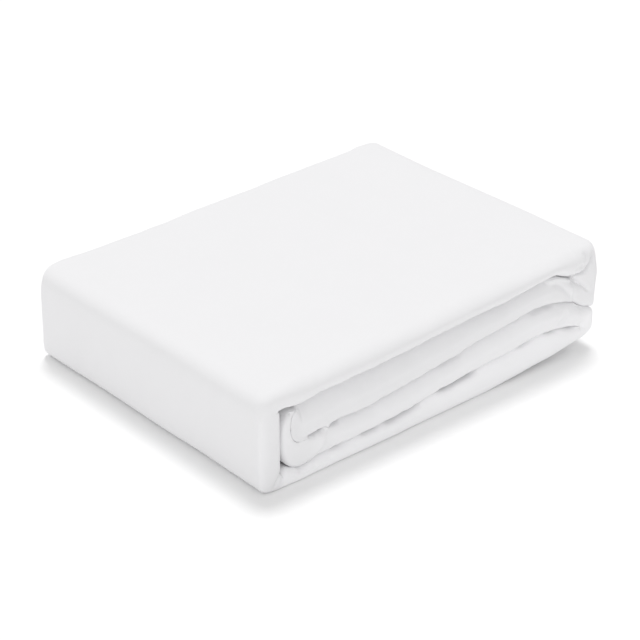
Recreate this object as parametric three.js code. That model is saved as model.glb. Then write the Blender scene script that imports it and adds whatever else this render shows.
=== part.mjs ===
// Folded mattress protector: one long quilted strip, many plies thick, lying flat as it is
// packed for a shelf. Units are millimetres and +Z is up. Both halves of the strip are turned
// back at the right end, the whole is closed like a book round the left end, and in the middle
// one free end hooks round the other. It is one closed solid: a grid of ribs led along the
// fold, with a layer of air between neighbouring bands.
import * as THREE from 'three';
import { mergeVertices } from 'three/addons/utils/BufferGeometryUtils.js';

// Driving sizes
const LENGTH = 340; // along X, from the left wrap to the turned right ends
const DEPTH = 263; // along Y, from the front folded edge to the back one
const AIR = 1.2; // between neighbouring bands
const WRAP = 17.5; // thickness of the wrap over the left end

// The wrap's two corners: how far along and up they run outside, their radius inside, and
// how full they are, 1 for round and less for squarer
const TOP_CORNER = { run: 22, rise: 20, inner: 1.2, blunt: 0.62 };
const BOTTOM_CORNER = { run: 22, rise: 13, inner: 2, blunt: 0.45 };

// Where the right-hand turns begin, how far they reach at the front and at the back edge, and
// how full they are in their low and high halves
const UPPER_TURN = { start: 306, frontReach: 334.6, backReach: LENGTH, low: 0.3, high: 0.55 };
const LOWER_TURN = { start: 314, frontReach: 328.6, backReach: 337, low: 0.6, high: 0.32 };

// The tucked end's round nose starts at x, and the hook goes round it. waist is how high the
// hook is widest, as a share of its height, and both angles are counted from the right.
const HOOK = { x: 38, noseReach: 9.5, reach: 19.3, waist: 0.55, under: 0.88, over: 0.85 };
const HOOK_END = { body: 140, tip: 124 };
const NOSE_BLUNT = 0.9;

// Heights over the floor where the bands meet, a row for each cross line from the left end.
// base is the underside, then come the seams between bands, and top is the upper face.
const FRONT_HEIGHTS = [
  { x: 0, base: 0, lower: 12.5, middle: 28, upper: 60.5, top: 77.4 },
  { x: 20, base: 0, lower: 12.5, middle: 28, upper: 61.3, top: 78 },
  { x: 32, base: 0, lower: 8.8, middle: 28, upper: 59.4, top: 78.4 },
  { x: 40, base: 0, lower: 8.4, middle: 28, upper: 58.8, top: 78.7 },
  { x: 50, base: 0, lower: 11.2, middle: 30.8, upper: 58.6, top: 79 },
  { x: 64, base: 0, lower: 12.6, middle: 32, upper: 58.6, top: 79.4 },
  { x: 95, base: 0, lower: 14, middle: 31.8, upper: 60, top: 80.4 },
  { x: 130, base: 0, lower: 15.1, middle: 35.3, upper: 61.4, top: 81.5 },
  { x: 185, base: 0, lower: 21.5, middle: 41.3, upper: 64.6, top: 83.3 },
  { x: 215, base: 0, lower: 23.2, middle: 44.8, upper: 65.7, top: 84.3 },
  { x: 235, base: 1.2, lower: 24.5, middle: 47, upper: 66.3, top: 84.9 },
  { x: 270, base: 4, lower: 27.2, middle: 49.8, upper: 71, top: 86 },
  { x: 285, base: 5, lower: 26.7, middle: 48.2, upper: 70.6, top: 86.5 },
  { x: 308, base: 9.2, lower: 21.6, middle: 40, upper: 62, top: 87.2 },
  { x: 322, base: 11.2, lower: 18.6, middle: 32.6, upper: 62.4, top: 87.7 },
  { x: 340, base: 13.4, lower: 15.8, middle: 28.5, upper: 63.3, top: 88.2 },
];
const BACK_HEIGHTS = [
  { x: 0, base: 0, lower: 10, middle: 29, upper: 60, top: 76 },
  { x: 90, base: 0, lower: 12.5, middle: 31, upper: 60.5, top: 77.5 },
  { x: 210, base: 0, lower: 16, middle: 37, upper: 61, top: 79.6 },
  { x: 285, base: 2.5, lower: 18, middle: 38.5, upper: 61, top: 80.9 },
  { x: 340, base: 8, lower: 17, middle: 30, upper: 59, top: 81.9 },
];
const HEIGHT_COLUMNS = ['base', 'lower', 'middle', 'upper', 'top'];

// The stretches of the strip in order, from the tucked end to the hook's tip. ribs is the
// number of steps along it, front and behind are how far its two long edges lie inside the
// outermost ones, where it starts and where it ends, rim is how deep its rounded edges are,
// and blunt is as above.
const STRETCHES = [
  { name: 'tucked nose', ribs: 6, front: [4, 4], behind: [5, 5], rim: 5, blunt: 0.75 },
  { name: 'upper middle band', ribs: 19, front: [4, 3.6], behind: [5, 4], rim: 4.5, blunt: 0.55 },
  { name: 'upper right turn', ribs: 9, front: [3.6, 3.4], behind: [4, 1], rim: 6, blunt: 0.75 },
  { name: 'top right shoulder', ribs: 4, front: [0.4, 0], behind: [1, 0], rim: 9, blunt: 0.95 },
  { name: 'top band', ribs: 20, front: [0, 0], behind: [0, 0], rim: 11, blunt: 0.95 },
  { name: 'top left corner', ribs: 6, front: [0, 0.5], behind: [0, 0.6], rim: 8, blunt: 0.85 },
  { name: 'left wrap', ribs: 4, front: [0.5, 0.5], behind: [0.6, 0.6], rim: 5, blunt: 0.7 },
  { name: 'bottom left corner', ribs: 6, front: [0.5, 0.8], behind: [0.6, 1], rim: 4.5, blunt: 0.65 },
  { name: 'bottom band', ribs: 20, front: [0.8, 0.8], behind: [1, 1], rim: 3.5, blunt: 0.6 },
  { name: 'lower right turn', ribs: 12, front: [0.8, 2], behind: [1, 3], rim: 5, blunt: 0.7 },
  { name: 'lower middle band', ribs: 19, front: [2, 2], behind: [3, 3], rim: 4, blunt: 0.55 },
  { name: 'hook', ribs: 12, front: [2, 2.6], behind: [3, 4], rim: 5, blunt: 0.7 },
  { name: 'hook tip', ribs: 3, front: [2.6, 5], behind: [4, 6], rim: 4, blunt: 0.8 },
];

// How many steps go round the strip at each rib
const RIM_STEPS = 8; // over each rounded long edge
const FACE_STEPS = 9; // across each face between them

const CLOTH_COLOUR = 0xf4f4f5;
const CLOTH_ROUGHNESS = 0.9;
const QUARTER = Math.PI / 2;
const { lerp, degToRad, smoothstep } = THREE.MathUtils;

// A smooth curve of all the heights over x, through the rows of one table
function heightCurve(rows) {
  const places = rows.map((row) => row.x);
  const values = rows.flatMap((row) => HEIGHT_COLUMNS.map((column) => row[column]));
  return new THREE.CubicInterpolant(places, values, HEIGHT_COLUMNS.length);
}

const frontCurve = heightCurve(FRONT_HEIGHTS);
const backCurve = heightCurve(BACK_HEIGHTS);

// The heights at one place, passing smoothly from the front table to the back one
function heightsAt(x, y) {
  const front = Array.from(frontCurve.evaluate(x));
  const back = Array.from(backCurve.evaluate(x));
  const share = smoothstep(y, 0, DEPTH);
  const entries = HEIGHT_COLUMNS.map((column, i) => [column, lerp(front[i], back[i], share)]);
  return Object.fromEntries(entries);
}

// Each band's two sides, half the air away from the seam
const base = (heights) => Math.max(heights.base, 0);
const underLower = (heights) => heights.lower - AIR / 2;
const overLower = (heights) => heights.lower + AIR / 2;
const underMiddle = (heights) => heights.middle - AIR / 2;
const overMiddle = (heights) => heights.middle + AIR / 2;
const underUpper = (heights) => heights.upper - AIR / 2;
const overUpper = (heights) => heights.upper + AIR / 2;
const top = (heights) => heights.top;

// A point on a flattened circle in the XZ plane
function onArc(x, z, reachX, reachZ, angle, blunt) {
  const cosine = Math.cos(angle);
  const sine = Math.sin(angle);
  return new THREE.Vector2(
    x + reachX * Math.sign(cosine) * Math.abs(cosine) ** blunt,
    z + reachZ * Math.sign(sine) * Math.abs(sine) ** blunt,
  );
}

// Each shape below gives the strip's two sides at t, from 0 to 1 along its stretch, as they
// are at y. outer is the side that lies outwards where the strip goes round an end.
function band(fromX, toX, outerSide, innerSide) {
  return (t, y) => {
    const x = lerp(fromX, toX, t);
    const heights = heightsAt(x, y);
    return {
      outer: new THREE.Vector2(x, outerSide(heights)),
      inner: new THREE.Vector2(x, innerSide(heights)),
    };
  };
}

// A turn at the right end, from one angle to the other, round the seam that it closes
function rightTurn(turn, seam, lowSide, highSide, fromDegrees, toDegrees) {
  return (t, y) => {
    const angle = degToRad(lerp(fromDegrees, toDegrees, t));
    const reach = lerp(turn.frontReach, turn.backReach, y / DEPTH) - turn.start;
    const blunt = angle < 0 ? turn.low : turn.high;
    const outer = onArc(turn.start, 0.5, reach, 0.5, angle, blunt);
    const heights = heightsAt(outer.x, y);
    outer.y = lerp(lowSide(heights), highSide(heights), outer.y);
    const fold = heightsAt(turn.start, y)[seam];
    return { outer, inner: onArc(turn.start, fold, AIR / 2, AIR / 2, angle, 1) };
  };
}

function topLeftCorner(t, y) {
  const { run, rise, inner, blunt } = TOP_CORNER;
  const angle = lerp(QUARTER, 2 * QUARTER, t);
  const heights = heightsAt(run, y);
  return {
    outer: onArc(run, top(heights) - rise, run, rise, angle, blunt),
    inner: onArc(WRAP + inner, overUpper(heights) - inner, inner, inner, angle, 1),
  };
}

function bottomLeftCorner(t, y) {
  const { run, rise, inner, blunt } = BOTTOM_CORNER;
  const angle = lerp(2 * QUARTER, 3 * QUARTER, t);
  const heights = heightsAt(run, y);
  return {
    outer: onArc(run, base(heights) + rise, run, rise, angle, blunt),
    inner: onArc(WRAP + inner, underLower(heights) + inner, inner, inner, angle, 1),
  };
}

function leftWrap(t, y) {
  const above = topLeftCorner(1, y);
  const below = bottomLeftCorner(0, y);
  return {
    outer: above.outer.lerp(below.outer, t),
    inner: above.inner.lerp(below.inner, t),
  };
}

// The tucked end begins as a line at its left, and opens into a round nose
function tuckedNose(t, y) {
  const heights = heightsAt(HOOK.x, y);
  const middle = (overMiddle(heights) + underUpper(heights)) / 2;
  const half = middle - overMiddle(heights);
  const reach = HOOK.noseReach;
  return {
    outer: onArc(HOOK.x, middle, -reach, -half, QUARTER * t, NOSE_BLUNT),
    inner: onArc(HOOK.x, middle, -reach, half, QUARTER * t, NOSE_BLUNT),
  };
}

// The hook goes under the nose and up its left side, ever thinner
function hookAt(degrees, y) {
  const angle = degToRad(degrees);
  const heights = heightsAt(HOOK.x, y);
  const noseMiddle = (heights.middle + heights.upper) / 2;
  const noseHalf = noseMiddle - underMiddle(heights);
  const waist = lerp(overLower(heights), underUpper(heights), HOOK.waist);
  const isOver = degrees < 180;
  const half = isOver ? underUpper(heights) - waist : waist - overLower(heights);
  const blunt = isOver ? HOOK.over : HOOK.under;
  return {
    outer: onArc(HOOK.x, noseMiddle, HOOK.noseReach + AIR, noseHalf, angle, NOSE_BLUNT),
    inner: onArc(HOOK.x, waist, HOOK.reach, half, angle, blunt),
  };
}

function hook(t, y) {
  return hookAt(lerp(270, HOOK_END.body, t), y);
}

// The tip closes to a line as a quarter circle does
function hookTip(t, y) {
  const sides = hookAt(lerp(HOOK_END.body, HOOK_END.tip, t), y);
  const middle = sides.outer.clone().lerp(sides.inner, 0.5);
  const closing = 1 - Math.sqrt(1 - t * t);
  return {
    outer: sides.outer.lerp(middle, closing),
    inner: sides.inner.lerp(middle, closing),
  };
}

const SHOULDER = 45; // degrees above level where the upper turn passes into the top band
const SHAPES = {
  'tucked nose': tuckedNose,
  'upper middle band': band(HOOK.x, UPPER_TURN.start, overMiddle, underUpper),
  'upper right turn': rightTurn(UPPER_TURN, 'upper', overMiddle, top, -90, SHOULDER - 8),
  'top right shoulder': rightTurn(UPPER_TURN, 'upper', overMiddle, top, SHOULDER, 90),
  'top band': band(UPPER_TURN.start, TOP_CORNER.run, top, overUpper),
  'top left corner': topLeftCorner,
  'left wrap': leftWrap,
  'bottom left corner': bottomLeftCorner,
  'bottom band': band(BOTTOM_CORNER.run, LOWER_TURN.start, base, underLower),
  'lower right turn': rightTurn(LOWER_TURN, 'lower', base, underMiddle, -90, 90),
  'lower middle band': band(LOWER_TURN.start, HOOK.x, underMiddle, overLower),
  hook,
  'hook tip': hookTip,
};

// Every rib with its shape and its edges' figures. The rim passes evenly into the next one's.
function ribList() {
  const list = [];
  STRETCHES.forEach((stretch, place) => {
    const next = STRETCHES[Math.min(place + 1, STRETCHES.length - 1)];
    const first = place === 0 ? 0 : 1;
    for (let step = first; step <= stretch.ribs; step += 1) {
      const t = step / stretch.ribs;
      list.push({
        sides: (y) => SHAPES[stretch.name](t, y),
        front: lerp(...stretch.front, t),
        behind: lerp(...stretch.behind, t),
        rim: lerp(stretch.rim, next.rim, t),
        blunt: lerp(stretch.blunt, next.blunt, t),
      });
    }
  });
  return list;
}

// The points round a rib: over the front edge, back along the outer side, over the back edge
// and forward again along the inner side. side is 0 inside and 1 outside, and share runs from
// the front to the back. The list is turned round so that the cloth's faces point outwards.
function ringList() {
  const list = [];
  const overEdge = (isBack) => {
    for (let step = 0; step < RIM_STEPS; step += 1) {
      const angle = -QUARTER + (Math.PI * step) / RIM_STEPS;
      list.push({ isRim: true, isBack, angle: isBack ? -angle : angle });
    }
  };
  const alongSide = (side) => {
    for (let step = 0; step < FACE_STEPS; step += 1) {
      const share = step / FACE_STEPS;
      list.push({ isRim: false, side, share: side === 1 ? share : 1 - share });
    }
  };
  overEdge(false);
  alongSide(1);
  overEdge(true);
  alongSide(0);
  return list.reverse();
}

// A point of the cloth at one rib and one place round it
function clothPoint(rib, point) {
  const front = rib.front + rib.rim;
  const back = DEPTH - rib.behind - rib.rim;
  let y = lerp(front, back, point.share);
  let side = point.side;
  if (point.isRim) {
    const depth = rib.rim * Math.abs(Math.cos(point.angle)) ** rib.blunt;
    const sine = Math.sin(point.angle);
    y = point.isBack ? back + depth : front - depth;
    side = (1 + Math.sign(sine) * Math.abs(sine) ** rib.blunt) / 2;
  }
  const { outer, inner } = rib.sides(y);
  const place = inner.lerp(outer, side);
  return new THREE.Vector3(place.x - LENGTH / 2, y - DEPTH / 2, place.y);
}

// A flat grid of squares whose rows become the ribs and whose columns go round them
function clothGeometry() {
  const ribs = ribList();
  const ring = ringList();
  const grid = new THREE.PlaneGeometry(1, 1, ring.length, ribs.length - 1);
  const columns = ring.length + 1;
  const position = grid.getAttribute('position');
  for (let i = 0; i < position.count; i += 1) {
    const rib = ribs[Math.floor(i / columns)];
    const point = ring[(i % columns) % ring.length];
    position.setXYZ(i, ...clothPoint(rib, point));
  }
  grid.deleteAttribute('normal');
  grid.deleteAttribute('uv');
  const merged = mergeVertices(grid);
  merged.computeVertexNormals();
  return merged;
}

function protector() {
  const material = new THREE.MeshStandardMaterial({
    color: CLOTH_COLOUR,
    roughness: CLOTH_ROUGHNESS,
    metalness: 0,
  });
  const mesh = new THREE.Mesh(clothGeometry(), material);
  mesh.name = 'protector';
  return mesh;
}

const foldedProtector = new THREE.Group();
foldedProtector.add(protector());

export default foldedProtector;
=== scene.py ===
# %% [markdown]
# # A folded mattress protector
# The real thing is one long padded cloth. It is folded lengthwise into a thick strip, both
# halves of the strip are turned back at the right end, the whole is closed round the left end
# like a book, and in the middle one free end hooks round the other. It lies flat on a pale
# table. This lesson makes that strip as one skin on the folds, gives it its creases, a knitted
# white finish and the soft light of a packshot.

# %% Load the frame
import math
from collections import namedtuple

import bmesh
import bpy
import numpy as np
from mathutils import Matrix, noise


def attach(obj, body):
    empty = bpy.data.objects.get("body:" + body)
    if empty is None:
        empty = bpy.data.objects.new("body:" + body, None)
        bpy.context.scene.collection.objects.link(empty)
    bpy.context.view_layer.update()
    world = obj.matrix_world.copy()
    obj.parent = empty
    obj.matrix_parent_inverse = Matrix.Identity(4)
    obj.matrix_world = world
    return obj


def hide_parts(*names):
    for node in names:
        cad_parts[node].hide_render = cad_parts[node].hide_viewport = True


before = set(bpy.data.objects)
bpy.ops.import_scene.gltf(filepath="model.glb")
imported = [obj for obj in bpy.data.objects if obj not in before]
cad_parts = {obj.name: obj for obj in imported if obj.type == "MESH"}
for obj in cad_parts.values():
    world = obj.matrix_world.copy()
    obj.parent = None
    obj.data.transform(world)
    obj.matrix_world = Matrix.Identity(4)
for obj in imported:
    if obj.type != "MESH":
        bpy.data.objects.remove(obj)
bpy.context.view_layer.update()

# %% [markdown]
# ## The folds in numbers
# A folded cloth can be simulated, but a simulation seldom ends in one given fold. So the folds
# are drawn. Everything is in millimetres, with x from the left end, y from the front edge
# and z from the table. Each row gives the heights where the bands of the strip meet.

# %% Sizes of the folds
MM = 0.001
LENGTH = 340  # from the left wrap to the turned right ends
DEPTH = 263  # from the front folded edge to the back one
AIR = 0.1  # between neighbouring bands, which press on each other here
WRAP = 17.5  # thickness of the wrap over the left end
# The wrap's corners: how far along and up they run outside, their radius inside, and how full
# they are, 1 for round and less for squarer.
TOP_CORNER = dict(run=22, rise=20, inner=1.2, blunt=0.62)
BOTTOM_CORNER = dict(run=22, rise=13, inner=2, blunt=0.45)
# Where the right turns begin, how far they reach at the front and at the back, how full they
# are in their low and high halves, and the share by which the low half draws back at its foot.
UPPER_TURN = dict(start=306, front=332.9, back=LENGTH, low=0.07, high=0.42, lean=0.08)
LOWER_TURN = dict(start=314, front=327.8, back=337, low=0.65, high=0.06, lean=0)
# The nose of the tucked end starts at x and the hook goes round it. waist is how high the hook
# is widest, as a share of its height, and under and over are how full it is below and above.
HOOK = dict(x=38, nose=11, reach=19.3, waist=0.55, under=1, over=0.62)
HOOK_END = dict(body=134, tip=116)  # degrees from the right, where it thins and where it ends
NOSE_BLUNT = 0.9
SHOULDER = 45  # degrees above level where the upper turn passes into the top band

#        x, base, lower, middle, upper, top
FRONT_HEIGHTS = [
    (0, 0, 12.5, 28, 60.5, 77.4),
    (20, 0, 12.5, 28, 61.3, 78),
    (32, 0, 8.8, 29.4, 59.4, 78.4),
    (40, 0, 8.4, 29.8, 58.8, 78.7),
    (50, 0, 11.2, 31.4, 58.6, 79),
    (64, 0, 12.6, 32.4, 58.6, 79.4),
    (95, 0, 14, 31.8, 60, 80.4),
    (130, 0, 15.1, 35.3, 61.4, 81.5),
    (185, 0, 21.5, 41.3, 64.6, 83.3),
    (215, 0, 23.2, 44.8, 65.7, 84.3),
    (235, 1.2, 24.5, 47, 66.3, 84.9),
    (270, 4, 27.2, 49.8, 71, 86),
    (285, 5, 26.7, 48.2, 70.6, 86.5),
    (308, 9.2, 21.6, 41.6, 62, 87.2),
    (322, 11.2, 18.6, 32.8, 62.4, 87.7),
    (340, 13.4, 15.8, 28.5, 63.3, 88.2),
]
BACK_HEIGHTS = [
    (0, 0, 10, 29, 60, 76),
    (90, 0, 12.5, 31, 60.5, 77.5),
    (210, 0, 16, 37, 61, 79.6),
    (285, 2.5, 18, 38.5, 61, 80.9),
    (340, 8, 17, 30, 59, 81.9),
]
HEIGHT_NAMES = ("base", "lower", "middle", "upper", "top")
print("the top rises from", FRONT_HEIGHTS[0][-1], "to", FRONT_HEIGHTS[-1][-1], "mm at the front")


# %% Smooth curves through the rows
def height_curve(rows, x):
    """All the heights at x, on smooth curves through the rows."""
    table = np.array(rows, float)
    places, values = table[:, 0], table[:, 1:]
    x = np.clip(x, places[0], places[-1])
    steps = np.diff(values, axis=0) / np.diff(places)[:, None]
    slopes = np.vstack([steps[:1], (steps[1:] + steps[:-1]) / 2, steps[-1:]])
    i = np.clip(np.searchsorted(places, x, side="right") - 1, 0, len(places) - 2)
    width = (places[i + 1] - places[i])[..., None]
    p = (x - places[i])[..., None] / width
    ends = (2 * p**3 - 3 * p**2 + 1) * values[i] + (3 * p**2 - 2 * p**3) * values[i + 1]
    return ends + width * ((p**3 - 2 * p**2 + p) * slopes[i] + (p**3 - p**2) * slopes[i + 1])


print("base, seams and top at x 300:", height_curve(FRONT_HEIGHTS, 300.0).round(1))

# %% [markdown]
# ## Uneven seams
# No seam between two bands is straight. The rows hold only its main run, so smooth noise adds
# the small wavering, most at the edges and none deep inside, where nobody sees it.

# %% Seams that waver
SEAM_ROW_PITCH = 7.3  # how far apart the rows that two seeds read lie in the noise
NOISE_LAYER = 0.5  # halfway between two layers of the noise's grid, on which it is flat


def waver(x, seed, waves):
    """An uneven wave along x. waves holds its parts as size and pitch in millimetres."""
    steps = range(LENGTH + 1)
    seed_row = seed * SEAM_ROW_PITCH
    row = sum(
        size * np.array([noise.noise((step / pitch, seed_row, NOISE_LAYER)) for step in steps])
        for size, pitch in waves
    )
    return np.interp(x, steps, row)


SEAM_WAVES = [(0.9, 13), (0.6, 4.5)]
SEAM_WAVES_REACH = 20  # how far from an edge the seams waver
BACK_SEEDS = 10  # added to a seam's number at the back edge
# How far the cloth under a seam falls away at the very edge, where the bands are least pressed.
SEAM_OPENING = dict(lower=1, middle=0.6, upper=1.1)
SEAM_OPENING_REACH = 7


def heights_at(x, y):
    """The heights at one place, passing smoothly from the front rows to the back ones."""
    x = np.asarray(x, float) + 0 * y
    share = np.clip(y / DEPTH, 0, 1)
    share = (share * share * (3 - 2 * share))[..., None]
    both = height_curve(FRONT_HEIGHTS, x) * (1 - share) + height_curve(BACK_HEIGHTS, x) * share
    heights = dict(zip(HEIGHT_NAMES, np.moveaxis(both, -1, 0)))
    from_edge = np.minimum(y, DEPTH - y)
    near_edge = np.exp(-((from_edge / SEAM_WAVES_REACH) ** 2))
    for seed, name in enumerate(SEAM_OPENING):
        at_front, at_back = (waver(x, number, SEAM_WAVES) for number in (seed, seed + BACK_SEEDS))
        waves = np.where(y < DEPTH / 2, at_front, at_back)
        heights[name] = heights[name] + near_edge * waves
    heights["edge"] = np.exp(-((from_edge / SEAM_OPENING_REACH) ** 2))
    return heights


edge_seam, deep_seam = (heights_at(150, y)["upper"].round(2) for y in (0.0, DEPTH / 4))
print("the upper seam at x 150:", edge_seam, "mm at the edge,", deep_seam, "mm deeper in")

# %% [markdown]
# ## The shapes along the strip
# A lofted surface needs a cross line at each step along the way. Here every stretch of the
# strip is a small function that gives its two sides, outer and inner, at a share t of its own
# length and at each y. Bands are straight, turns and corners go round on blunt arcs.

# %% Sides and blunt arcs
QUARTER = math.pi / 2
ROUNDING = 1e-9  # a smaller sine or cosine stands for 0


def mix(a, b, share):
    """A value that passes from a to b as share goes from 0 to 1."""
    return a + (b - a) * share


def side_height(name, heights):
    """The height of one side of a band, half the air away from the seam that it faces."""
    if name in ("base", "top"):
        return np.maximum(heights[name], 0)
    where, seam = name.split()
    if where == "over":
        return heights[seam] + AIR / 2
    return heights[seam] - AIR / 2 - SEAM_OPENING[seam] * heights["edge"]


def blunt_circle(angle, blunt):
    """A point in the angle's direction, on a circle that is squarer the less blunt is."""
    cosine = np.where(np.abs(np.cos(angle)) < ROUNDING, 0, np.cos(angle))
    sine = np.where(np.abs(np.sin(angle)) < ROUNDING, 0, np.sin(angle))
    power = 2 / np.asarray(blunt, float)
    size = (np.abs(cosine) ** power + np.abs(sine) ** power) ** (-1 / power)
    return cosine * size, sine * size


def on_arc(x, z, reach_x, reach_z, angle, blunt):
    """A point in the XZ plane, on a blunt arc round (x, z) with its own reach each way."""
    across, up = blunt_circle(angle, blunt)
    return np.stack(np.broadcast_arrays(x + reach_x * across, z + reach_z * up), -1)


for blunt in (1, 0.5):
    reach = blunt_circle(QUARTER / 2, blunt)[0]
    print("halfway round, an arc that is", blunt, "blunt reaches", round(float(reach), 2))


# %% Bands and right turns
def band(from_x, to_x, outer, inner):
    """A straight stretch between two places, with the names of its two sides."""

    def sides(t, y):
        x = mix(from_x, to_x, t) + 0 * y
        heights = heights_at(x, y)
        return [np.stack([x, side_height(name, heights)], -1) for name in (outer, inner)]

    return sides


def right_turn(turn, seam, low, high, from_degrees, to_degrees):
    """A turn round the end of a seam. Its height is first a share between low and high."""

    def sides(t, y):
        angle = np.radians(mix(from_degrees, to_degrees, t)) + 0 * y
        reach = mix(turn["front"], turn["back"], y / DEPTH) - turn["start"]
        blunt = np.where(angle < 0, turn["low"], turn["high"])
        reach = reach * (1 + turn["lean"] * np.minimum(np.sin(angle), 0))
        outer = on_arc(turn["start"], 0.5, reach, 0.5, angle, blunt)
        heights = heights_at(outer[..., 0], y)
        low_z, high_z = side_height(low, heights), side_height(high, heights)
        outer = np.stack([outer[..., 0], mix(low_z, high_z, outer[..., 1])], -1)
        fold = heights_at(turn["start"], y)[seam]
        return outer, on_arc(turn["start"], fold, AIR / 2, AIR / 2, angle, 1)

    return sides


upper_reach = round(UPPER_TURN["front"] - UPPER_TURN["start"], 1)
print("the upper turn reaches", upper_reach, "mm at the front")


# %% The left end
def top_left_corner(t, y):
    c = TOP_CORNER
    angle = mix(QUARTER, 2 * QUARTER, t) + 0 * y
    heights = heights_at(c["run"], y)
    inner_z = side_height("over upper", heights) - c["inner"]
    return (
        on_arc(c["run"], heights["top"] - c["rise"], c["run"], c["rise"], angle, c["blunt"]),
        on_arc(WRAP + c["inner"], inner_z, c["inner"], c["inner"], angle, 1),
    )


def bottom_left_corner(t, y):
    c = BOTTOM_CORNER
    angle = mix(2 * QUARTER, 3 * QUARTER, t) + 0 * y
    heights = heights_at(c["run"], y)
    inner_z = side_height("under lower", heights) + c["inner"]
    base = side_height("base", heights)
    return (
        on_arc(c["run"], base + c["rise"], c["run"], c["rise"], angle, c["blunt"]),
        on_arc(WRAP + c["inner"], inner_z, c["inner"], c["inner"], angle, 1),
    )


def left_wrap(t, y):
    """From the foot of the top corner straight down to the head of the bottom one."""
    above, below = top_left_corner(1 + 0 * t, y), bottom_left_corner(0 * t, y)
    t = (t + 0 * y)[..., None]
    return [mix(a, b, t) for a, b in zip(above, below)]


print("the wrap is", WRAP, "mm thick")


# %% The tucked end and the hook
def tucked_nose(t, y):
    """Opens from a line at the nose's tip to the full thickness of the band behind it."""
    heights = heights_at(HOOK["x"], y)
    low, high = side_height("over middle", heights), side_height("under upper", heights)
    middle, half = (low + high) / 2, (high - low) / 2
    angle = QUARTER * t + 0 * y
    return [
        on_arc(HOOK["x"], middle, -HOOK["nose"], turned * half, angle, NOSE_BLUNT)
        for turned in (-1, 1)
    ]


def hook_at(degrees, y):
    """The hook's outer and inner side in one direction from its middle."""
    degrees = degrees + 0 * y
    angle = np.radians(degrees)
    heights = heights_at(HOOK["x"], y)
    low, high = side_height("over lower", heights), side_height("under upper", heights)
    nose_middle = (heights["middle"] + heights["upper"]) / 2
    nose_half = nose_middle - side_height("under middle", heights)
    waist = mix(low, high, HOOK["waist"])
    over = on_arc(HOOK["x"], waist, HOOK["reach"], high - waist, angle, HOOK["over"])
    under = on_arc(HOOK["x"], waist, HOOK["reach"], waist - low, angle, HOOK["under"])
    return (
        on_arc(HOOK["x"], nose_middle, HOOK["nose"] + AIR, nose_half, angle, NOSE_BLUNT),
        np.where((degrees < 180)[..., None], over, under),
    )


def hook(t, y):
    return hook_at(mix(270.0, HOOK_END["body"], t), y)


def hook_tip(t, y):
    """The hook's last stretch, where its two sides close to a line."""
    outer, inner = hook_at(mix(HOOK_END["body"], HOOK_END["tip"], t), y)
    closing = (1 - np.sqrt(np.maximum(1 - t * t, 0)) + 0 * y)[..., None]
    middle = (outer + inner) / 2
    return mix(outer, middle, closing), mix(inner, middle, closing)


print("the hook goes from 270 to", HOOK_END["tip"], "degrees round the nose")

# %% [markdown]
# ## The stretches in order
# ribs is how many cross lines a stretch gets. front and behind are how far its two long edges
# lie inside the outermost ones, where it starts and where it ends. rim is how deep its round
# edge is. blunt is how full that edge is on its outer and on its inner half: 1 is a half circle
# and less is squarer. In a pressed pile the lower corner of a band is sharp and the upper one
# soft, and the ribs of a long band crowd towards its ends, where the small creases are.

# %% The table of stretches
# Painted light and shade: the number before each shape scales the cloth's white per stretch. It is
# highest on the low bands and the lower turn, painted lighter as if the table lit them from below,
# and below 1 on the tucked nose, painted darker as if in shade.
Stretch = namedtuple("Stretch", "name ribs front behind rim blunt shade shape")
STRETCHES = [
    Stretch("tucked nose", 24, (2.2, 2.8), (5, 5), 5, (0.16, 0.16), 0.98, tucked_nose),
    Stretch("upper middle band", 171, (2.8, 4), (5, 4), 11, (0.35, 1.25), 1.01,
            band(HOOK["x"], UPPER_TURN["start"], "over middle", "under upper")),
    Stretch("upper right turn", 80, (1.2, 0), (4, 1), 9, (0.35, 0.9), 1,
            right_turn(UPPER_TURN, "upper", "over middle", "top", -90, SHOULDER)),
    Stretch("top right shoulder", 24, (0, 0), (1, 0), 10, (0.9, 0.35), 1,
            right_turn(UPPER_TURN, "upper", "over middle", "top", SHOULDER, 90)),
    Stretch("top band", 110, (0, 0), (0, 0), 14, (1, 1), 1,
            band(UPPER_TURN["start"], TOP_CORNER["run"], "top", "over upper")),
    Stretch("top left corner", 30, (0, 0.5), (0, 0.6), 9, (0.95, 0.6), 1, top_left_corner),
    Stretch("left wrap", 20, (0.5, 0.5), (0.6, 0.6), 5, (0.85, 0.4), 1, left_wrap),
    Stretch("bottom left corner", 30, (0.5, 0.8), (0.6, 1), 4.5, (0.75, 0.45), 1,
            bottom_left_corner),
    Stretch("bottom band", 120, (0.8, 0.8), (1, 1), 6, (0.5, 1.2), 1.15,
            band(BOTTOM_CORNER["run"], LOWER_TURN["start"], "base", "under lower")),
    Stretch("lower right turn", 60, (0.8, 2), (1, 3), 5, (0.5, 0.9), 1.12,
            right_turn(LOWER_TURN, "lower", "base", "under middle", -90, 90)),
    Stretch("lower middle band", 171, (2, 2), (3, 3), 10, (1.2, 0.35), 1.07,
            band(LOWER_TURN["start"], HOOK["x"], "under middle", "over lower")),
    Stretch("hook", 60, (2, 2), (3, 4), 6, (0.16, 0.9), 1.02, hook),
    Stretch("hook tip", 14, (2, 2.6), (4, 6), 6, (0.16, 0.9), 1, hook_tip),
]
FREE_END = (6, 0.5, 0.5)  # rim and blunt where the cloth ends
CROWDING = 0.6  # how much a band's ribs crowd towards its ends, from 0 to 1
# The last share of a stretch, over which its edge passes into the next one's.
PASSING_OF_BAND = 0.12
PASSING_OF_TURN = 0.3
print(len(STRETCHES), "stretches:", ", ".join(stretch.name for stretch in STRETCHES))


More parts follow.
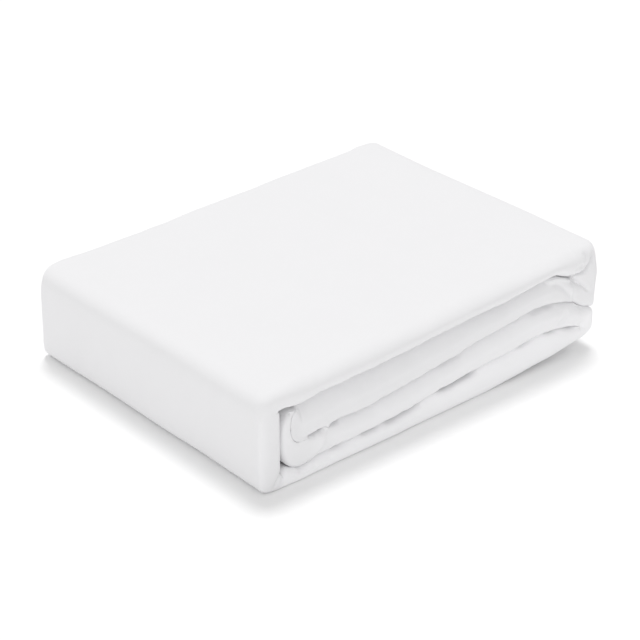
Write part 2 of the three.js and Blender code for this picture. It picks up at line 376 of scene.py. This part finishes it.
# %% Ribs along the strip
def rib_table():
    """A row for each rib: stretch number, t, front, behind, rim, two blunt values, painted light
    and shade.
    """
    rows = []
    for number, stretch in enumerate(STRETCHES):
        edge = (stretch.rim, *stretch.blunt, stretch.shade)
        edge_after = (*FREE_END, stretch.shade)
        if number < len(STRETCHES) - 1:
            after = STRETCHES[number + 1]
            edge_after = (after.rim, *after.blunt, after.shade)
        is_band = stretch.name.endswith("band")
        crowd = CROWDING if is_band else 0
        passing_share = PASSING_OF_BAND if is_band else PASSING_OF_TURN
        for step in range(0 if number == 0 else 1, stretch.ribs + 1):
            share = step / stretch.ribs
            t = mix(share, (1 - math.cos(math.pi * share)) / 2, crowd)
            passing = max(0, 1 - (1 - t) / passing_share)
            passed = [mix(*pair, passing) for pair in zip(edge, edge_after)]
            rows.append((number, t, mix(*stretch.front, t), mix(*stretch.behind, t), *passed))
    return np.array(rows)


RIBS = rib_table()
print(len(RIBS), "ribs along the strip")

# %% [markdown]
# ## The ring round each rib
# A rib is a closed line round the strip's section: over the rounded front edge, back along the
# outer side, over the rounded back edge, and forward again along the inner side.

# %% Points round a rib
RIM_STEPS = 32
FACE_STEPS = 12
BACK_RIM = 0.7  # the back edges are this much as deep as the front ones


def ring_table():
    """A row for each point: is it on a rim, is that the back one, its angle, side and share."""
    rows = []
    for is_back in (0, 1):
        for step in range(RIM_STEPS):
            angle = -QUARTER + math.pi * step / RIM_STEPS
            rows.append((1, is_back, -angle if is_back else angle, 0, 0))
        for step in range(FACE_STEPS):
            share = step / FACE_STEPS
            rows.append((0, 0, 0, 1 - is_back, 1 - share if is_back else share))
    return np.array(rows[::-1])


RING = ring_table()
print(len(RING), "points round each rib")


def strip_points(recess):
    """Where each ring point of each rib lies, in millimetres, as a ribs by ring by 3 array."""
    front, behind, rim, outer_blunt, inner_blunt = (RIBS[:, k : k + 1] for k in range(2, 7))
    is_rim, is_back, angle, side, share = (RING[None, :, k] for k in range(5))
    back_rim = rim * BACK_RIM
    near, far = front + recess + rim, DEPTH - behind - back_rim
    rim = np.where(is_back > 0, back_rim, rim)
    deep, bulge = blunt_circle(angle, np.where(angle > 0, outer_blunt, inner_blunt))
    out = rim * deep
    y = np.where(is_rim > 0, np.where(is_back > 0, far + out, near - out), mix(near, far, share))
    side = np.where(is_rim > 0, (1 + bulge) / 2, side + 0 * rim)
    points = np.zeros((len(RIBS), len(RING), 3))
    for number, stretch in enumerate(STRETCHES):
        mine = RIBS[:, 0] == number
        outer, inner = stretch.shape(RIBS[mine, 1:2], y[mine])
        place = mix(inner, outer, side[mine][..., None])
        points[mine] = np.stack([place[..., 0], y[mine], place[..., 1]], -1)
    return points


print("thickest rim:", RIBS[:, 4].max(), "mm deep")

# %% [markdown]
# ## The mitre at the right
# Where the top band turns down at its right end, the lip of its front edge ends in a slanting
# line, as the corner of a picture frame does. A boolean cut would leave a hard edge, so the ribs
# beyond that line simply start further back, over a soft step.

# %% Distance from a drawn line
def line_distance(points, line):
    """Each point's distance from a line of points, and how far along the line it is, 0 to 1."""
    line = np.array(line, float)
    best = np.full(points.shape[:-1], np.inf)
    share = np.zeros(points.shape[:-1])
    lengths = np.linalg.norm(np.diff(line, axis=0), axis=1)
    done = 0
    for start, end, length in zip(line[:-1], line[1:], lengths):
        step = end - start
        t = np.clip(((points - start) @ step) / (length * length), 0, 1)
        distance = np.linalg.norm(points - start - t[..., None] * step, axis=-1)
        nearer = distance < best
        best = np.where(nearer, distance, best)
        share = np.where(nearer, (done + t * length) / lengths.sum(), share)
        done += length
    return best, share


def on_stretches(*names):
    """For each rib, whether it belongs to one of the named stretches."""
    numbers = [k for k, stretch in enumerate(STRETCHES) if stretch.name in names]
    return np.isin(RIBS[:, 0], numbers)[:, None]


print("ribs on the hook:", int(on_stretches("hook", "hook tip").sum()))

# %% The mitre
MITRE = [(300, 65.5), (306, 66.5), (314, 68.3), (318, 73), (322, 78.5), (326, 83.5), (330, 92)]
MITRE_STEP = 3.4  # how much further back the ribs start beyond the line
MITRE_SHARPNESS = 0.9  # over how many millimetres the step softens


def mitre_recess(points):
    """How much further back each point's front edge lies."""
    places = points[..., [0, 2]]
    distance = line_distance(places, MITRE)[0]
    xs, zs = zip(*MITRE)
    above = np.where(places[..., 1] > np.interp(places[..., 0], xs, zs), 1, -1)
    outside = 1 / (1 + np.exp(above * distance / MITRE_SHARPNESS))
    return MITRE_STEP * outside * on_stretches("upper right turn", "top right shoulder")


POINTS = strip_points(mitre_recess(strip_points(0)))
print("box of the plain folds:", POINTS.min((0, 1)).round(1), POINTS.max((0, 1)).round(1))

# %% [markdown]
# ## Creases
# Real cloth is never as even as its folds. Sculpting by hand would work, but can't be redone
# when a size changes. So each crease is a short line of points on the front, and near it the
# front edge is pushed back or pulled forward, only on the stretches that the crease belongs to.

# %% Where the strip ends
# Nothing moves at the two ends of the strip, where the skin closes to a line.
FROM_END = np.minimum(np.arange(len(RIBS)), np.arange(len(RIBS))[::-1])[:, None]
END_FADE_RIBS = 8
END_FADE = np.clip((FROM_END - 1) / END_FADE_RIBS, 0, 1)
print("ribs that may move fully:", int((END_FADE == 1).sum()))

# %% The creases that show
UPPER_END = ("upper middle band", "upper right turn")
CREASES = [
    # stretches, depth (a ridge where below 0), drop, width, points (x, z)
    # the upper right end: a sharp crease from the mitre, and soft folds beside it
    (UPPER_END, 2.4, 0, 1.4, [(300, 66), (305, 64), (311, 57.5), (317, 53), (323, 47)]),
    (UPPER_END, 1.3, 0, 2.4, [(284, 66), (292, 61.5), (300, 54.6), (303, 50), (306, 44.6)]),
    (UPPER_END, -0.6, 0, 2.8, [(296, 64), (303, 58), (309, 51), (312, 45)]),
    # under the lip, where the cloth rises to meet the top band
    (UPPER_END, 0, -1.3, 4, [(284, 70), (295, 68), (304, 65)]),
    # the mitre, where the top band's edge turns up round the right end
    (("upper right turn", "top right shoulder", "top band"), 4.5, 0, 1.8,
     [(300, 65), (307, 66.3), (314, 68), (318.5, 73), (322.5, 78.5), (327, 84), (330, 88)]),
    (("upper right turn", "top right shoulder"), 6, 0, 2.2,
     [(310, 65.5), (317, 67), (321.5, 72.5), (324, 77)]),
    # puckers beside the mitre
    (("top right shoulder", "top band"), 1.4, 0, 1.7, [(303, 73.5), (308, 73.5), (313, 74.5)]),
    (("top right shoulder", "top band"), 1.1, 0, 1.7, [(313, 76), (315, 80), (312, 84)]),
    # a soft dent on the lower right end
    (("lower middle band", "lower right turn"), 1.4, 0, 2.6, [(289, 30), (296, 35), (302, 37.5)]),
    # the diagonal at the bottom left, where the wrap turns into the bottom band
    (("bottom left corner", "left wrap", "bottom band"), 1.1, 0, 1.6,
     [(18.5, 14), (14, 9), (10.5, 4)]),
    # the hook sinks away towards the top left corner
    (("hook", "hook tip"), 7, 0, 5, [(17, 57), (22, 61), (31, 61)]),
    # places where the seam over the bottom band gapes
    (("bottom band",), 9, 3.2, 2.6, [(169, 20), (187, 21.6), (206, 23)]),
    (("bottom band",), 4.5, 1.6, 2.4, [(114, 14), (134, 15.6), (150, 17.2)]),
    (("bottom band",), 3, 1.2, 2, [(94, 13.6), (110, 14)]),
    (("bottom band",), 3, 1, 1.6, [(42, 10.2), (46, 12), (50, 13.4)]),
    (("bottom band",), 2.5, 0.8, 2, [(66, 12.5), (76, 13.2)]),
    (("bottom band",), 2.5, 1, 2, [(250, 25.6), (262, 27)]),
    (("bottom band",), 3, 1.2, 2, [(278, 27.5), (289, 26.4)]),
    (("bottom band",), 2, 0.6, 2, [(298, 24.4), (308, 22)]),
    # and where it closes, beside the bottom left corner
    (("bottom left corner", "bottom band"), 0, -1.6, 3, [(22, 11.5), (29, 9.6), (35, 8.6)]),
    # the seam over the lower middle band, at its right end, halfway and beside the hem
    (("lower middle band",), 3, 1, 2.4, [(262, 49), (278, 49), (288, 47)]),
    (("lower middle band",), 2, 0.6, 2.4, [(168, 39), (182, 40.4), (192, 41.6)]),
    (("lower middle band",), 3, 1, 1.8, [(65.5, 31.6), (69, 31.6), (74, 31.4)]),
    (("lower middle band",), 2.4, 0.6, 1.6, [(48, 30.6), (53, 31.6), (58.5, 32)]),
]
print(len(CREASES), "creases")

# %% Grooves that are pressed flat
# Places where a groove is pressed nearly flush with the cloth beside it.
FILLS = [
    # stretches, how far the groove's floor lies from the front, width, points (x, z)
    # round the tucked nose
    (("tucked nose", "hook", "hook tip", "upper middle band", "lower middle band"), 2.4, 2.2,
     [(31, 55), (28.6, 49), (27.2, 44.5), (27.4, 40.5), (29, 36.6), (32.6, 33), (36, 31),
      (42, 29.8)]),
    # under the lip of the top band at the right
    (UPPER_END, 5, 4.6, [(284, 70), (295, 68), (304, 65)]),
    # where the right turns press on each other, and where the lower one ends
    (("lower middle band", "lower right turn", *UPPER_END), 7, 2.5, [(312, 38.5), (325, 32)]),
    (("bottom band", "lower right turn", "lower middle band"), 3, 2.5, [(312, 21.2), (318, 19.5)]),
]
print(len(FILLS), "filled grooves")

# %% Press the creases in
# Each change is whole up to this depth behind the front edge, and ends at twice the depth.
CREASE_REACH = 7
FILL_REACH = 8
CREASE_TIP = 0.25  # a crease's strength at its two ends
CREASE_TAPER = 5  # how quickly it grows from there, over its whole length


def near_front(y, reach):
    """1 as far as reach behind the front, falling to 0 at twice that."""
    return np.clip(2 - y / reach, 0, 1)


def creased(points):
    """Pushes the front edges back along the creases, and pulls them forward along the ridges."""
    places, y = points[..., [0, 2]], points[..., 1]
    may_move = near_front(y, CREASE_REACH) * END_FADE
    pushed = points.copy()
    for names, depth, drop, width, line in CREASES:
        distance, share = line_distance(places, line)
        fading = np.clip(np.minimum(share, 1 - share) * CREASE_TAPER + CREASE_TIP, 0, 1)
        strength = on_stretches(*names) * fading * may_move
        strength = strength * np.exp(-((distance / width) ** 2))
        pushed[..., 1] += strength * depth
        pushed[..., 2] -= strength * drop
    for names, floor_y, width, line in FILLS:
        distance, _ = line_distance(places, line)
        strength = on_stretches(*names) * near_front(y, FILL_REACH)
        strength = strength * np.exp(-((distance / width) ** 4))
        pushed[..., 1] -= strength * np.maximum(pushed[..., 1] - floor_y, 0)
    return pushed


POINTS = creased(POINTS)
print("furthest forward after the creases:", round(float(POINTS[..., 1].min()), 2), "mm")

# %% [markdown]
# ## The hem
# A protector's border is turned in and stitched, and its edge shows as a small step across the
# lower middle band. A second layer of mesh could lie there, but it is the same cloth, so the
# skin itself steps up: the side towards the hook lies higher, and at the top the hem's thickness
# fills the seam.

# %% The hem
HEM_LINE = [(63, 36), (62, 30.5), (60, 27), (56, 19.5), (51, 15.8), (47, 12)]
HEM = dict(step=1, sharpness=0.45, fade=12, reach=6)
HEM_BRIDGE = dict(place=(62, 32.2), front=3.3, width=2.2, strength=1.3, reach=8)


def hemmed(points):
    """Lifts the cloth on the hook's side of the hem line, fading out towards the hook."""
    places, y = points[..., [0, 2]], points[..., 1]
    xs, zs = zip(*HEM_LINE[::-1])
    ahead = np.interp(places[..., 1], zs, xs) - places[..., 0]
    step = 1 / (1 + np.exp(-ahead / HEM["sharpness"])) * np.clip(1 - ahead / HEM["fade"], 0, 1)
    here = on_stretches("lower middle band", "hook") * near_front(y, HEM["reach"])
    lifted = points.copy()
    lifted[..., 1] -= HEM["step"] * step * here
    away = np.linalg.norm(places - HEM_BRIDGE["place"], axis=-1) / HEM_BRIDGE["width"]
    pull = np.minimum(HEM_BRIDGE["strength"] * np.exp(-(away**2)), 1)
    pull = pull * near_front(y, HEM_BRIDGE["reach"])
    pull = pull * on_stretches("lower middle band", "upper middle band")
    lifted[..., 1] -= pull * np.maximum(lifted[..., 1] - HEM_BRIDGE["front"], 0)
    return lifted


POINTS = hemmed(POINTS)
print("the hem stands", HEM["step"], "mm proud")

# %% [markdown]
# ## Unevenness of the padding
# Padding gathers and thins, so no face of the strip is flat. Noise along each normal would push
# the two sides of a seam against each other. Here the noise is a direction in space that both
# sides share, in three sizes from slow swells to small dimples.

# %% Slow unevenness of the padding
ON_TABLE = 1.5  # cloth lower than this is pressed flat on the table
UNEVEN_SEED = 7  # without a seed the noise would be another one at each run
UNEVEN = [
    # size in millimetres, pitch in millimetres
    (0.7, 70),
    (0.35, 28),
    (0.16, 9),
]


def uneven(points):
    """Moves the skin by smooth noise in space, so that two sides of a seam move together."""
    noise.seed_set(UNEVEN_SEED)
    moved = np.zeros(points.shape)
    for size, pitch in UNEVEN:
        flat = (points / pitch).reshape(-1, 3)
        values = np.array([noise.noise_vector(spot) for spot in flat.tolist()])
        moved += size * values.reshape(points.shape)
    on_table = points[..., 2] < ON_TABLE
    return points + moved * (~on_table * END_FADE)[..., None]


POINTS = uneven(POINTS)
POINTS[..., 2] = np.maximum(POINTS[..., 2], 0)
print("box of the creased folds:", POINTS.min((0, 1)).round(1), POINTS.max((0, 1)).round(1))

# %% [markdown]
# ## The skin as a mesh
# A flat grid becomes the skin when its rows go to the ribs and its columns to the points round
# them. Its first and last columns meet, and the free ends close to a line, so merging the
# doubles leaves one closed mesh. After that its faces are turned to point outwards.

# %% Make the mesh
MERGE_WITHIN = 1e-6  # metres


def lengths_from_start(points, axis):
    """How far each point lies along a line of points, starting from 0."""
    steps = np.linalg.norm(np.diff(points, axis=axis), axis=-1)
    return np.insert(np.cumsum(steps, axis=axis), 0, 0, axis=axis)


def strip_mesh(points, along, painted_light_per_rib):
    """One closed mesh through the points, with UVs in metres and painted light and shade for each
    rib.
    """
    ribs, ring = points.shape[:2]
    around = lengths_from_start(np.concatenate([points, points[:, :1]], 1), 1)
    bm = bmesh.new()
    bmesh.ops.create_grid(bm, x_segments=ring, y_segments=ribs - 1, size=1, calc_uvs=True)
    uv_layer = bm.loops.layers.uv.verify()
    painted_light_layer = bm.verts.layers.float.new("shade")
    spots = {}
    for vert in bm.verts:
        column = round((vert.co.x + 1) / 2 * ring)
        row = round((vert.co.y + 1) / 2 * (ribs - 1))
        spots[vert] = (along[row] * MM, around[row, column] * MM)
        x, y, z = points[row, column % ring]
        vert.co = ((x - LENGTH / 2) * MM, (y - DEPTH / 2) * MM, z * MM)
        vert[painted_light_layer] = painted_light_per_rib[row]
    for face in bm.faces:
        for loop in face.loops:
            loop[uv_layer].uv = spots[loop.vert]
        face.smooth = True
    bmesh.ops.remove_doubles(bm, verts=bm.verts, dist=MERGE_WITHIN)
    bmesh.ops.recalc_face_normals(bm, faces=bm.faces)
    open_edges = sum(len(edge.link_faces) != 2 for edge in bm.edges)
    volume = bm.calc_volume(signed=True)
    print(len(bm.faces), "faces,", open_edges, "open edges,", round(volume * 1000, 2), "litres")
    mesh = bpy.data.meshes.new("protector_cloth")
    bm.to_mesh(mesh)
    bm.free()
    return mesh


OUTER, INNER = (POINTS[:, RING[:, 3] == side].mean(1) for side in (1, 0))
ALONG = lengths_from_start((OUTER + INNER) / 2, 0)
protector = bpy.data.objects.new("protector_cloth", strip_mesh(POINTS, ALONG, RIBS[:, -1]))
bpy.context.collection.objects.link(protector)

# %% [markdown]
# ## Knitted white cloth
# The face of a mattress protector is a fine knit, matt and slightly fuzzy. An image of a knit
# would repeat, so the stitches are worked out from the cloth's own coordinates, which are its
# real lengths along and round the strip. A small class lets plain arithmetic build the nodes.

# %% Shader arithmetic
class Signal:
    """A shader socket that plain arithmetic works on. Each operation adds a Math node."""

    def __init__(self, tree, socket=None):
        self.tree, self.socket = tree, socket

    def node(self, kind, settings, sockets, output=0):
        """Adds a node with its settings and sockets, and gives one of its outputs."""
        made = self.tree.nodes.new(kind)
        for name, value in settings.items():
            setattr(made, name, value)
        for name, value in sockets.items():
            if isinstance(value, Signal):
                self.tree.links.new(value.socket, made.inputs[name])
            else:
                made.inputs[name].default_value = value
        return Signal(self.tree, made.outputs[output])

    def math(self, operation, first, second=0.0):
        return self.node("ShaderNodeMath", {"operation": operation}, {0: first, 1: second})

    def __add__(self, other):
        return self.math("ADD", self, other)

    def __radd__(self, other):
        return self.math("ADD", other, self)

    def __sub__(self, other):
        return self.math("SUBTRACT", self, other)

    def __rsub__(self, other):
        return self.math("SUBTRACT", other, self)

    def __mul__(self, other):
        return self.math("MULTIPLY", self, other)

    def __rmul__(self, other):
        return self.math("MULTIPLY", other, self)

    def __truediv__(self, other):
        return self.math("DIVIDE", self, other)

    def __rtruediv__(self, other):
        return self.math("DIVIDE", other, self)

    def __abs__(self):
        return self.math("ABSOLUTE", self)

    def fraction(self):
        return self.math("FRACT", self)

    def sine(self):
        return self.math("SINE", self)


print("a signal can:", [name for name, made in vars(Signal).items() if callable(made)])


# %% Cloth finish
WALE, COURSE = 1.1 * MM, 0.9 * MM  # a stitch's width and height
NAP, PATCH, PADDING = 0.5 * MM, 35 * MM, 7 * MM  # pitches of fuzz, tone and small dents
WHITE = (0.815, 0.812, 0.822)
ROUGHNESS = 0.9
BUMP = dict(Strength=0.25, Distance=0.25 * MM)

cloth = bpy.data.materials.new("cloth")
cloth.use_nodes = True
shader = cloth.node_tree.nodes["Principled BSDF"]
make = Signal(cloth.node_tree)


def noise_at(place, size, detail):
    """Noise from 0 to 1 with patches of about the given size in metres."""
    settings = {"noise_dimensions": "3D"}
    sockets = {"Vector": place, "Scale": 1 / size, "Detail": detail}
    return make.node("ShaderNodeTexNoise", settings, sockets)


place = make.node("ShaderNodeTexCoord", {}, {}, "Object")
cloth_place = make.node("ShaderNodeUVMap", {"uv_map": "UVMap"}, {})
along = make.node("ShaderNodeSeparateXYZ", {}, {0: cloth_place})
across = Signal(cloth.node_tree, along.socket.node.outputs["Y"])
# A stitch is a V: two legs that slant away from the middle of the wale.
leg = abs((across / WALE).fraction() - 0.5) * 2
thread = ((along / COURSE + leg * 0.6) * (2 * math.pi)).sine() * 0.5 + 0.5
stitches = (1 - leg * leg) * (0.4 + 0.6 * thread)
nap = noise_at(place, NAP, 2)
patches = noise_at(place, PATCH, 2)
padding = noise_at(place, PADDING, 1)

# Painted light and shade: each rib's value from the table of stretches scales the white, and the
# noise adds a little random tone.
shade = make.node("ShaderNodeAttribute", {"attribute_name": "shade"}, {}, "Fac")
tone_and_painted_light = shade * (1 + 0.016 * (patches - 0.5) + 0.012 * (nap - 0.5))
colour = make.node("ShaderNodeVectorMath", {"operation": "SCALE"}, {0: WHITE, "Scale": tone_and_painted_light})
rough = ROUGHNESS + 0.06 * (nap - 0.5)
height = stitches * 0.6 + nap * 0.4 + padding * 2
bump = make.node("ShaderNodeBump", {}, {"Height": height, **BUMP})
links = cloth.node_tree.links
links.new(colour.socket, shader.inputs["Base Color"])
links.new(rough.socket, shader.inputs["Roughness"])
links.new(bump.socket, shader.inputs["Normal"])
shader.inputs["Sheen Weight"].default_value = 0.2
shader.inputs["Sheen Roughness"].default_value = 0.5
shader.inputs["Specular IOR Level"].default_value = 0.2
protector.data.materials.append(cloth)
print("cloth:", len(cloth.node_tree.nodes), "nodes")
print("stitches of", round(WALE / MM, 2), "by", round(COURSE / MM, 2), "mm")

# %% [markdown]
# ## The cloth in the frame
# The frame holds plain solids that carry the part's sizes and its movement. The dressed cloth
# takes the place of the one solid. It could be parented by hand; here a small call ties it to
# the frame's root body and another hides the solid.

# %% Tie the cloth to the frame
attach(protector, "root")
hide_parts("protector")
print(protector.name, "rides on root:", [round(side, 3) for side in protector.dimensions], "m")

# %% [markdown]
# ## The table
# The real cloth lies on a seamless white paper sweep. A curved sweep would only show in the
# distance, so one plain square does, matt and a little below pure white, so that the cloth
# still stands out on it.

# %% Floor
FLOOR_REACH = 8  # metres each way
PAPER_WHITE = (0.97, 0.97, 0.97, 1)

bm = bmesh.new()
bmesh.ops.create_grid(bm, x_segments=1, y_segments=1, size=FLOOR_REACH)
floor_mesh = bpy.data.meshes.new("floor")
bm.to_mesh(floor_mesh)
bm.free()
floor = bpy.data.objects.new("floor", floor_mesh)
bpy.context.collection.objects.link(floor)
paper = bpy.data.materials.new("paper")
paper.use_nodes = True
paper_sockets = paper.node_tree.nodes["Principled BSDF"].inputs
paper_sockets["Base Color"].default_value = PAPER_WHITE
paper_sockets["Roughness"].default_value = 1
paper_sockets["Specular IOR Level"].default_value = 0
floor_mesh.materials.append(paper)

# %% [markdown]
# ## Light
# The packshot has no hard shadow: a large soft source stands high behind the pile, bright walls
# all round, and a weak light in front keeps the folded edge readable. Area lamps would need
# their distance tuned, and two wide suns in a white world give the same light from any size.

# %% Light
YAW, PITCH = 40.83, 28.9  # degrees that the camera is turned and looks down
SKY = 0.64
LAMPS = [
    # name, azimuth, elevation, strength, spread
    ("back light", YAW, 70, 0.415 * math.pi, 18),
    ("front fill", YAW + 189, 8, 0.28 * math.pi, 80),
]

scene = bpy.context.scene
scene.view_settings.view_transform = "Standard"
scene.view_settings.look = "None"
world = bpy.data.worlds.new("studio")
world.use_nodes = True
sky_sockets = world.node_tree.nodes["Background"].inputs
sky_sockets["Color"].default_value = (1, 1, 1, 1)
sky_sockets["Strength"].default_value = SKY
scene.world = world


def sun(name, azimuth, elevation, strength, spread):
    """Adds a wide sun. azimuth is where it shines from, counted as the camera's yaw is."""
    lamp = bpy.data.lights.new(name, "SUN")
    lamp.energy = strength
    lamp.angle = math.radians(spread)
    lamp_object = bpy.data.objects.new(name, lamp)
    lamp_object.rotation_euler = (math.radians(90 - elevation), 0, math.radians(180 - azimuth))
    bpy.context.collection.objects.link(lamp_object)


for lamp_row in LAMPS:
    sun(*lamp_row)

# %% [markdown]
# ## Camera
# The upright edges of the pile lean together downwards, and the two rows of edges meet far
# away, so the photo was taken from above with a long lens. Its angles and distance were found
# from the corners of the pile.

# %% Camera
PHOTO_WIDTH = 640  # pixels
FOCAL_PIXELS = 2300  # the lens's focal length in the photo's pixels
SENSOR = 36
FROM_CORNER = (-0.8327, -1.0229, 0.8679)  # metres from the pile's left front corner

camera = bpy.data.cameras.new("camera")
camera.sensor_width = SENSOR
camera.lens = FOCAL_PIXELS * SENSOR / PHOTO_WIDTH
camera.clip_end = 50
camera_object = bpy.data.objects.new("camera", camera)
corner_x, corner_y = -LENGTH / 2 * MM, -DEPTH / 2 * MM
camera_object.location = (FROM_CORNER[0] + corner_x, FROM_CORNER[1] + corner_y, FROM_CORNER[2])
camera_object.rotation_euler = (math.radians(90 - PITCH), 0, math.radians(-YAW))
bpy.context.collection.objects.link(camera_object)
scene.camera = camera_object
print("camera", round(camera_object.location.length, 2), "m away, lens", round(camera.lens), "mm")

# %% [markdown]
# ## The end
# The dressed part has to keep to the solid's sizes.
